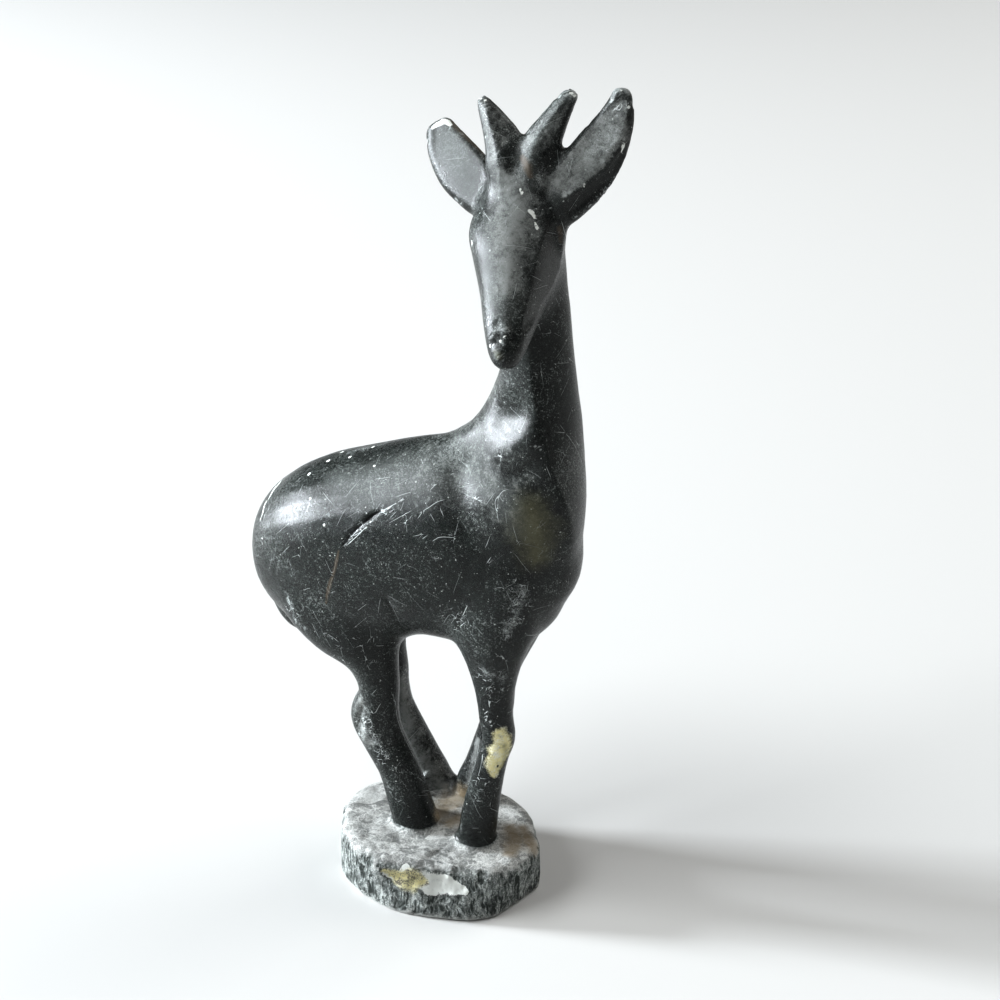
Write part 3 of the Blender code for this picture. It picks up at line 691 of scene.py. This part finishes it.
def bite(points, outward, centre, facing, heading, length, width, depth):
    """How deep one scoop of the chisel goes at each point."""
    heading = heading - facing * heading.dot(facing)
    heading = heading / np.linalg.norm(heading)
    away = points - centre
    lengthways = away @ heading / length
    sideways = away @ np.cross(facing, heading) / width
    scoop = depth * np.clip(1 - lengthways ** 2 - sideways ** 2, 0, 1)
    return scoop * (outward @ facing > BITE_FACES) * (np.abs(away @ facing) < width)


draw = np.random.default_rng(SEED)
on_base = np.flatnonzero(base > 0.5)
base_points, base_outward = skin.points[on_base], skin.out[on_base]
depth = np.zeros(len(on_base))
for _ in range(BITES):
    spot = draw.integers(len(on_base))
    facing = base_outward[spot]
    if facing[2] < UNDERSIDE_FACES:
        continue
    upright = np.array([0.0, 0.0, 1.0]) + draw.normal(0, UPRIGHT_SWING, 3)
    heading = draw.normal(0, 1, 3) if facing[2] > TOP_FACES else upright
    depth = np.maximum(depth, bite(
        base_points, base_outward, base_points[spot], facing, heading,
        draw.uniform(*BITE_LENGTH), draw.uniform(*BITE_WIDTH), draw.uniform(*BITE_DEPTH),
    ))
cut = np.zeros(len(skin.points))
cut[on_base] = depth * (base_points[:, 2] > foot_level + BITES_STOP)
skin.push(-cut)
above_ground = skin.points[:, 2] > foot_level + RIPPLES_STOP
for height, *ripple in BASE_RIPPLES:
    skin.push(height * base * skin.ripple(*ripple) * above_ground)
height, *ripple = FIGURE_RIPPLE
skin.push(height * (1 - base) * skin.ripple(*ripple))
stroke("wound", WOUND, cut=0.6)
for rows in WOUND_CHIPS:
    stroke("wound", rows)
stroke("cream", WOUND_BROWN)
stroke("olive", WOUND_OLIVE)
stroke("brown", WOUND_DARK)
for rows in BASE_EARTH:
    stroke("earth", rows)

# Handling. The finished stone was rubbed and knocked as it was moved about: fine hair lines run every way
# over the wax, in crowds of short ones at some places, and the edges are nicked.
# Each crowd is a pixel, how far it spreads round it in pixels, and how many scratches it has.
CROWDS = [
    (364, 726, 16, 50), (386, 758, 14, 22), (492, 688, 18, 46), (488, 725, 12, 20), (474, 790, 18, 20),
    (463, 622, 10, 18), (520, 596, 12, 26), (511, 624, 10, 22), (292, 608, 12, 22), (368, 640, 24, 24),
    (430, 515, 60, 20), (622, 112, 14, 12),
]
CROWD_LENGTH = (1.5, 5.0)
CROWD_HALF_WIDTH = (0.03, 0.11)
HAIRS = 1300
HAIR_LENGTH = (3.0, 11.0)
HAIR_HALF_WIDTH = (0.02, 0.08)
HAIR_TURN = 0.02
NICKS = 120
NICK_RADIUS = (0.6, 1.4)
NICK_DEPTH = 0.3
NICK_CROWN = 0.9
EDGE_BEND = 0.25
EDGE_SOFTENED = 3
WEAR_SOFTENED = 2


def wander(start, heading, length, turn):
    """A path over the skin from a point, one step of a millimetre after another, that turns steadily."""
    place, path = Vector(start), []
    for _ in range(int(length)):
        place, out, _, _ = tree.find_nearest(place)
        path.append((*place, 0.0))
        heading = (heading - out * heading.dot(out)).normalized()
        heading = (heading + out.cross(heading) * turn).normalized()
        place = place + heading
    return np.array(path)


tree = skin.as_tree()
for px, py, reach, count in CROWDS:
    for _ in range(count):
        start, _ = cast(px + draw.normal(0, reach / 2), py + draw.normal(0, reach / 2))
        heading = Vector(draw.normal(0, 1, 3))
        path = wander(start, heading, draw.uniform(*CROWD_LENGTH), draw.normal(0, HAIR_TURN))
        if len(path) > 1:
            score(path, draw.uniform(*CROWD_HALF_WIDTH))
for _ in range(HAIRS):
    start = skin.points[draw.integers(len(skin.points))]
    heading = Vector(draw.normal(0, 1, 3))
    path = wander(start, heading, draw.uniform(*HAIR_LENGTH), draw.normal(0, HAIR_TURN))
    score(path, draw.uniform(*HAIR_HALF_WIDTH))

edges = np.flatnonzero((skin.bend(EDGE_SOFTENED) > EDGE_BEND) & above_ground)
chips = np.zeros(len(skin.points))
for spot in draw.choice(edges, NICKS, replace=False):
    radius = draw.uniform(*NICK_RADIUS)
    inside = 1 - np.linalg.norm(skin.points - skin.points[spot], axis=1) / radius
    np.maximum(chips, ease(inside, 0, NICK_CROWN) * radius * NICK_DEPTH, out=chips)
skin.push(-chips)
skin.fields["nick"] = chips
skin.fields["edge"] = skin.bend(WEAR_SOFTENED)
del skin.fields["hair_near"]
skin.save()


# The finish. Waxed soapstone is a greenish black with pale flecks where pits hold dust, crossed by the hair
# scratches of the last rubbing; the base is the same stone left dry and bruised by the tools.
class Wire:
    """A value in a material. It takes part in sums as a number does, and each sum adds its node."""

    def __init__(self, finish, socket):
        self.finish = finish
        self.socket = socket

    def maths(self, operation, *terms):
        return self.finish.node("ShaderNodeMath", {"operation": operation}, dict(enumerate(terms)))

    def __add__(self, other):
        return self.maths("ADD", self, other)

    __radd__ = __add__

    def __sub__(self, other):
        return self.maths("SUBTRACT", self, other)

    def __rsub__(self, other):
        return self.maths("SUBTRACT", other, self)

    def __mul__(self, other):
        return self.maths("MULTIPLY", self, other)

    __rmul__ = __mul__

    def __abs__(self):
        return self.maths("ABSOLUTE", self)

    def most(self, other):
        """The larger of two values."""
        return self.maths("MAXIMUM", self, other)

    def over(self, low, high):
        """0 below low, 1 above high and a smooth step between."""
        values = {"Value": self, "From Min": low, "From Max": high}
        return self.finish.node("ShaderNodeMapRange", {"interpolation_type": "SMOOTHSTEP"}, values)


class Finish:
    """A material under construction, with its one way of adding a node."""

    def __init__(self, name):
        self.material = bpy.data.materials.new(name)
        self.material.use_nodes = True
        self.tree = self.material.node_tree
        self.shader = self.tree.nodes["Principled BSDF"]

    def node(self, kind, settings, values, out=0):
        """Adds a node: its settings first, then the values or links of its sockets. Returns one output."""
        made = self.tree.nodes.new(kind)
        for name, value in settings.items():
            setattr(made, name, value)
        for name, value in values.items():
            self.feed(made.inputs[name], value)
        return Wire(self, made.outputs[out])

    def feed(self, socket, value):
        if isinstance(value, Wire):
            self.tree.links.new(value.socket, socket)
        else:
            socket.default_value = value

    def set(self, values):
        """Feeds the shader's own sockets."""
        for name, value in values.items():
            self.feed(self.shader.inputs[name], value)

    def blend(self, under, over, share):
        """One colour laid over another."""
        return self.node("ShaderNodeMix", {"data_type": "RGBA"}, {0: share, 6: under, 7: over}, out=2)

    def noise(self, place, per_mm, detail, roughness=0.5, out=0):
        values = {"Vector": place, "Scale": per_mm, "Detail": detail, "Roughness": roughness}
        return self.node("ShaderNodeTexNoise", {}, values, out)

    def drawn_out(self, place, turn, per_mm, stretch):
        """The place squeezed along one direction, turned by degrees, so that a texture is drawn out there."""
        scale = (stretch / per_mm, 1 / per_mm, 1 / per_mm)
        values = {"Vector": place, "Rotation": tuple(radians(angle) for angle in turn), "Scale": scale}
        return self.node("ShaderNodeMapping", {"vector_type": "TEXTURE"}, values)

    def streaks(self, place, turn, per_mm, stretch, detail):
        """Noise drawn out along one direction."""
        return self.noise(self.drawn_out(place, turn, per_mm, stretch), 1.0, detail)

    def rubbed(self, place, turn, fineness, squeeze):
        """Noise in very thin sheets, too fine to be seen one by one, so that it lies as an even veil."""
        return self.noise(self.drawn_out(place, turn, fineness * squeeze, 1 / squeeze), 1.0, 1.0)

    def tooling(self, place, turn, per_mm, stretch):
        """Long facets side by side, as a chisel leaves them, each with a shade of its own from 0 to 1."""
        facets = {"Vector": self.drawn_out(place, turn, per_mm, stretch), "Scale": 1.0}
        return self.node("ShaderNodeTexVoronoi", {}, facets, out=1)

    def spots(self, place, per_mm, share, size, wobble):
        """Scattered ragged spots: about this share of the cells holds one, up to this many cells wide."""
        values = {"Vector": place, "Scale": per_mm}
        distance = self.node("ShaderNodeTexVoronoi", {}, values)
        chance = self.node("ShaderNodeTexVoronoi", {}, values, out=1)
        return ((chance - (1 - share)) * size - distance + wobble).over(0.0, 0.06)

    def swirled(self, place, per_mm, reach):
        """The place moved about by soft noise, so that straight streaks run in curls."""
        curl = self.noise(place, per_mm, 1.0, out=1)
        centred = self.node("ShaderNodeVectorMath", {"operation": "SUBTRACT"}, {0: curl, 1: (0.5, 0.5, 0.5)})
        moved = self.node("ShaderNodeVectorMath", {"operation": "SCALE"}, {0: centred, "Scale": reach})
        return self.node("ShaderNodeVectorMath", {"operation": "ADD"}, {0: place, 1: moved})

    def field(self, name):
        return self.node("ShaderNodeAttribute", {"attribute_name": name}, {}, out=2)

    def patch(self, name, wobble, low, high):
        """Where a painted field shows, with a broken edge."""
        return (self.field(name) + wobble).over(low, high)


WAXED_DARK = (0.0020, 0.0026, 0.0024, 1)
WAXED_GREEN = (0.008, 0.011, 0.0098, 1)
HAZE = (0.024, 0.029, 0.026, 1)
DUST = (0.078, 0.084, 0.080, 1)
# A pale grey: painted light on faces turned to the lamps, and the crumbs' grey in the broken wound.
PAINTED_LIGHT_AND_CRUMB_GREY = (0.28, 0.29, 0.28, 1)
FLECK = (0.24, 0.26, 0.25, 1)
SPOT = (0.46, 0.48, 0.46, 1)
HAIR = (0.58, 0.61, 0.60, 1)
SCUFF = (0.50, 0.53, 0.52, 1)
DRY_DARK = (0.28, 0.286, 0.275, 1)
DRY_PALE = (0.76, 0.768, 0.745, 1)
SAWN_DARK = (0.042, 0.050, 0.046, 1)
SAWN_MIDDLE = (0.23, 0.25, 0.24, 1)
SAWN_PALE = (0.60, 0.63, 0.61, 1)
BROWN = (0.11, 0.085, 0.060, 1)
OLIVE = (0.16, 0.153, 0.083, 1)
EARTH = (0.37, 0.30, 0.205, 1)
CREAM = (0.82, 0.76, 0.44, 1)
CHALK = (0.88, 0.90, 0.86, 1)
CRACK_BLACK = (0.003, 0.003, 0.003, 1)
WAX_ROUGHNESS = 0.27
WAX_IOR = 1.37
RELIEF_DEPTH = 0.25 * MM
RELIEF_STRENGTH = 0.8

# How many of a feature go to a millimetre. A drawn-out one is its turn in degrees, that number and how far
# it is drawn out; a swirl is that number and how far, in millimetres, it moves what lies in it; a rubbing is
# its turn, its fineness and how far it is squeezed.
CLOUDS_PER_MM = 0.06
MOTTLES_PER_MM = 0.30
GRAINS_PER_MM = 0.9
SPECKS_PER_MM = 2.6
SPOTS_PER_MM = 1.0
BRUISES_PER_MM = 0.32
CHISEL_CELLS_PER_MM = 0.36
RUBBINGS = [((0, 35, 20), 4.0, 18), ((0, -42, -12), 4.0, 22), ((0, 78, 5), 3.6, 16), ((0, 12, 62), 3.8, 18)]
CHAFINGS = [((0, 0, 65), 2.4, 10), ((0, 0, -20), 2.0, 8)]
UPRIGHT = (0, 90, 0)
SCOOPS = ((0, 0, 25), 0.42, 2.6)
CHISEL_STROKES = (UPRIGHT, 0.45, 2.2)
CHISEL_STREAKS = (UPRIGHT, 1.5, 5.0, 3.0)
CURLS = (0.09, 14.0)
RUFFLES = (0.35, 1.8)

finish = Finish("soapstone")
place = finish.node(
    "ShaderNodeVectorMath", {"operation": "SCALE"},
    {0: finish.node("ShaderNodeTexCoord", {}, {}, out=3), "Scale": 1 / MM},
)
facing = finish.node(
    "ShaderNodeSeparateXYZ", {}, {0: finish.node("ShaderNodeNewGeometry", {}, {}, out=1)}, out=2,
)

# The waxed stone, from the darkest layer up.
cloud = finish.noise(place, CLOUDS_PER_MM, 3)
mottle = finish.noise(place, MOTTLES_PER_MM, 4, 0.6)
grain = finish.noise(place, GRAINS_PER_MM, 5, 0.7)
speck = finish.noise(place, SPECKS_PER_MM, 2)
dust = facing.over(0.0, 0.9)
wobble = (mottle - 0.5) * 1.2 + (grain - 0.5) * 0.9 + (speck - 0.5) * 0.6
dusty = (finish.field("dust") + (mottle - 0.5) * 0.8).over(-0.3, 1.1)
flecks = (speck + (grain - 0.5) * 0.8 + (cloud - 0.5) * 0.5 + dust * 0.03 + dusty * 0.05).over(0.62, 0.74)
spots = finish.spots(place, SPOTS_PER_MM, 0.40, 0.8, (speck - 0.5) * 0.8 - 0.04)
cross_rubbing = reduce(Wire.most, (finish.rubbed(place, *rubbing) for rubbing in RUBBINGS))
rubbing = cross_rubbing.over(0.64, 0.74)
hairs = (finish.field("hair_half") - abs(finish.field("hair_side"))).over(0.0, 0.04)
waxed = finish.blend(WAXED_DARK, WAXED_GREEN, mottle.over(0.35, 0.65))
waxed = finish.blend(waxed, HAZE, (cloud * 0.4 + grain * 0.6 + dust * 0.08).over(0.44, 0.62) * 0.5)
waxed = finish.blend(
    waxed, DUST, dusty * (0.55 + (grain - 0.5) * 0.9 + (speck - 0.5) * 0.9 + (cross_rubbing - 0.6) * 1.2),
)
# Painted light: pale grey laid on the brow, the left ear, the horns, the neck's side, the shoulder and the
# legs' lit sides.
painted_light = (finish.field("painted_light") + wobble * 1.8 + (cross_rubbing - 0.62) * 2.5).over(-0.3, 1.2)
waxed = finish.blend(waxed, PAINTED_LIGHT_AND_CRUMB_GREY, painted_light)
waxed = finish.blend(waxed, FLECK, flecks * 0.55)
waxed = finish.blend(waxed, FLECK, rubbing * (0.36 + dust * 0.30 + dusty * 0.45))
waxed = finish.blend(waxed, SPOT, spots)
scuffed = (finish.field("scuff") * 0.34 + (cross_rubbing - 0.62) * 3.0 + wobble * 0.90).over(0.30, 0.50)
waxed = finish.blend(waxed, SCUFF, scuffed * 0.85)
worn_edge = (finish.field("edge") + wobble * 0.35).over(0.35, 0.75)
nicked = (finish.field("nick") + wobble * 0.30).over(0.16, 0.28)
waxed = finish.blend(waxed, SCUFF, worn_edge.most(nicked) * 0.55)

# The dry stone of the base: scooped and bruised on top, drawn into upright strokes on its walls.
curled = finish.swirled(place, *CURLS)
ruffled = finish.swirled(place, *RUFFLES)
scoops = finish.tooling(curled, *SCOOPS)
strokes = finish.tooling(ruffled, *CHISEL_STROKES)
bruises = finish.noise(ruffled, BRUISES_PER_MM, 7, 0.72)
chafing = reduce(Wire.most, (finish.rubbed(curled, *chafed) for chafed in CHAFINGS))
wall = 1 - abs(facing).over(0.35, 0.80)
upright = finish.streaks(ruffled, *CHISEL_STREAKS)
dry_share = (bruises * 0.55 + scoops * 0.30 + (chafing - 0.55) * 0.6 + (speck - 0.5) * 0.5).over(0.28, 0.60)
sawn_share = bruises * 0.50 + (upright - 0.5) * 0.70 + (strokes - 0.5) * 0.16 + 0.19
dry = finish.blend(DRY_DARK, DRY_PALE, dry_share)
dry = finish.blend(dry, SAWN_DARK, (chafing + (grain - 0.5) * 0.5).over(0.64, 0.70) * 0.8)
chisel_cells = {"Vector": ruffled, "Scale": CHISEL_CELLS_PER_MM}
chisel_edges = finish.node("ShaderNodeTexVoronoi", {"feature": "DISTANCE_TO_EDGE"}, chisel_cells)
chisel_edges = 1 - chisel_edges.over(0.0, 0.07)
dry = finish.blend(dry, DRY_PALE, chisel_edges * (bruises + (speck - 0.5) * 0.5).over(0.40, 0.55) * 0.9)
sawn = finish.blend(SAWN_DARK, SAWN_MIDDLE, sawn_share.over(0.32, 0.48))
sawn = finish.blend(sawn, SAWN_PALE, (sawn_share + (speck - 0.5) * 0.5).over(0.46, 0.60))
dry = finish.blend(dry, sawn, wall)
dry = finish.blend(dry, DRY_PALE, (finish.field("edge") + wobble * 0.5).over(0.15, 0.50) * 0.8)

# Both together, under the hair lines, the stains, the breaks and the pale flaw.
rough = (finish.field("rough") + (grain - 0.5) * 0.6).over(0.4, 0.6)
colour = finish.blend(waxed, dry, rough)
# Pale hair lines: scratches, and painted highlights along the jaw's edge, the elbow's crease and the near fore
# leg's lit side.
colour = finish.blend(colour, HAIR, hairs * 0.8)
colour = finish.blend(colour, EARTH, finish.patch("earth", wobble, -0.5, 0.9) * 0.75)
colour = finish.blend(colour, BROWN, finish.patch("brown", wobble, -0.2, 0.8) * 0.7)
torn = (bruises - 0.5) * 1.2 + (speck - 0.5) * 0.5
# A dark ring round the wound: painted shade along its broken edge.
colour = finish.blend(colour, SAWN_DARK, finish.patch("wound", torn, -0.5, -0.1) * 0.5)
wound = finish.patch("wound", torn, -0.05, 0.15)
broken = finish.blend(CHALK, PAINTED_LIGHT_AND_CRUMB_GREY, (grain * 0.6 + mottle * 0.4).over(0.50, 0.72) * 0.4)
colour = finish.blend(colour, broken, wound)
cream = finish.patch("cream", torn * 1.5, -0.15, 0.45)
pale_flaw = finish.blend(CREAM, OLIVE, (mottle * 0.5 + grain * 0.5).over(0.48, 0.66) * 0.55)
pale_flaw = finish.blend(pale_flaw, CHALK, (bruises * 0.6 + speck * 0.4).over(0.48, 0.60) * 0.6)
pale_flaw = finish.blend(pale_flaw, BROWN, (bruises + (speck - 0.5) * 0.8).over(0.52, 0.62) * wound * 0.8)
colour = finish.blend(colour, pale_flaw, cream)
colour = finish.blend(colour, OLIVE, finish.patch("olive", wobble * 0.8, -0.3, 1.6) * 0.75)
chalk = finish.patch("chalk", wobble * 0.8, 0.05, 0.35)
colour = finish.blend(colour, CHALK, chalk)
split = finish.patch("split", wobble * 0.4, 0.0, 0.25)
colour = finish.blend(colour, CRACK_BLACK, split)
bare = rough.most(wound).most(cream).most(chalk).most(scuffed * 0.6)
relief = (
    grain * 0.10 + speck * 0.04 - flecks * 0.08 - spots * 0.15 - cross_rubbing * 0.18 - hairs * 0.3
    + rough * (bruises * 3.2 + strokes * wall * 0.6 + scoops * (1 - wall) * 0.8 - chafing * 1.5)
)
bump_values = {"Strength": RELIEF_STRENGTH, "Distance": RELIEF_DEPTH, "Height": relief}
bump = finish.node("ShaderNodeBump", {}, bump_values)
finish.set({
    "Base Color": colour,
    "Roughness": (
        WAX_ROUGHNESS + (grain - 0.5) * 0.20 + (cross_rubbing - 0.62) * 0.6 + flecks * 0.10
        + dusty * 0.18 + bare * 0.45 + finish.patch("dull", wobble, -0.4, 1.0) * 0.30
    ),
    "Normal": bump,
    "Metallic": 0.0,
    "IOR": WAX_IOR,
})
carving.data.materials.clear()
carving.data.materials.append(finish.material)
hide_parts("stone_deer")
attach(carving, "root")

# The studio. A plain pale floor, one soft light from the left as from a window, a wider one above it, a wide
# and weak one from behind on the right, and weak soft fill from overhead. Angles are in degrees, lengths in
# metres, and each softbox is a name, azimuth, elevation, distance, width and height, watts and colour.
FLOOR_HALF = 12.0
FLOOR_PALE = (0.64, 0.64, 0.63, 1)
FLOOR_ROUGHNESS = 0.9
WARM_WHITE = (1.0, 0.99, 0.97)
SOFTBOXES = [
    ("window_light", -74, 10, 2.5, (0.42, 0.50), 135.0, (0.90, 0.95, 1.0)),
    ("sky_light", -50, 42, 2.2, (1.5, 0.8), 33.0, (0.95, 0.98, 1.0)),
    ("ceiling_light", 0, 88, 2.2, (5.0, 5.0), 26.0, WARM_WHITE),
    ("back_light", 145, 34, 2.4, (2.0, 1.4), 26.0, WARM_WHITE),
]
ROOM_COLOUR = (0.75, 0.77, 0.80, 1)
ROOM_STRENGTH = 0.07
VIEW_GAMMA = 0.80
VIEW_EXPOSURE = 0.26

floor_mesh = bpy.data.meshes.new("floor")
floor_corners = [(x * FLOOR_HALF, y * FLOOR_HALF, 0) for x, y in ((-1, -1), (1, -1), (1, 1), (-1, 1))]
floor_mesh.from_pydata(floor_corners, [], [(0, 1, 2, 3)])
floor = bpy.data.objects.new("floor", floor_mesh)
bpy.context.scene.collection.objects.link(floor)
paper = Finish("pale_floor")
paper.set({"Base Color": FLOOR_PALE, "Roughness": FLOOR_ROUGHNESS})
floor_mesh.materials.append(paper.material)


def soft_light(name, azimuth, elevation, distance, size, watts, colour):
    """A rectangular softbox that faces the middle of the figurine."""
    lamp = bpy.data.lights.new(name, "AREA")
    lamp.shape = "RECTANGLE"
    lamp.size, lamp.size_y = size
    lamp.energy = watts
    lamp.color = colour
    holder = bpy.data.objects.new(name, lamp)
    away = direction(radians(azimuth), radians(elevation))
    holder.location = VIEW_TARGET + away * distance
    holder.rotation_euler = away.to_track_quat("Z", "Y").to_euler()
    bpy.context.scene.collection.objects.link(holder)


for softbox in SOFTBOXES:
    soft_light(*softbox)
world = bpy.data.worlds.new("studio")
world.use_nodes = True
room = world.node_tree.nodes["Background"].inputs
room["Color"].default_value = ROOM_COLOUR
room["Strength"].default_value = ROOM_STRENGTH
bpy.context.scene.world = world
view = bpy.context.scene.view_settings
view.view_transform = "Standard"
view.gamma = VIEW_GAMMA
view.exposure = VIEW_EXPOSURE
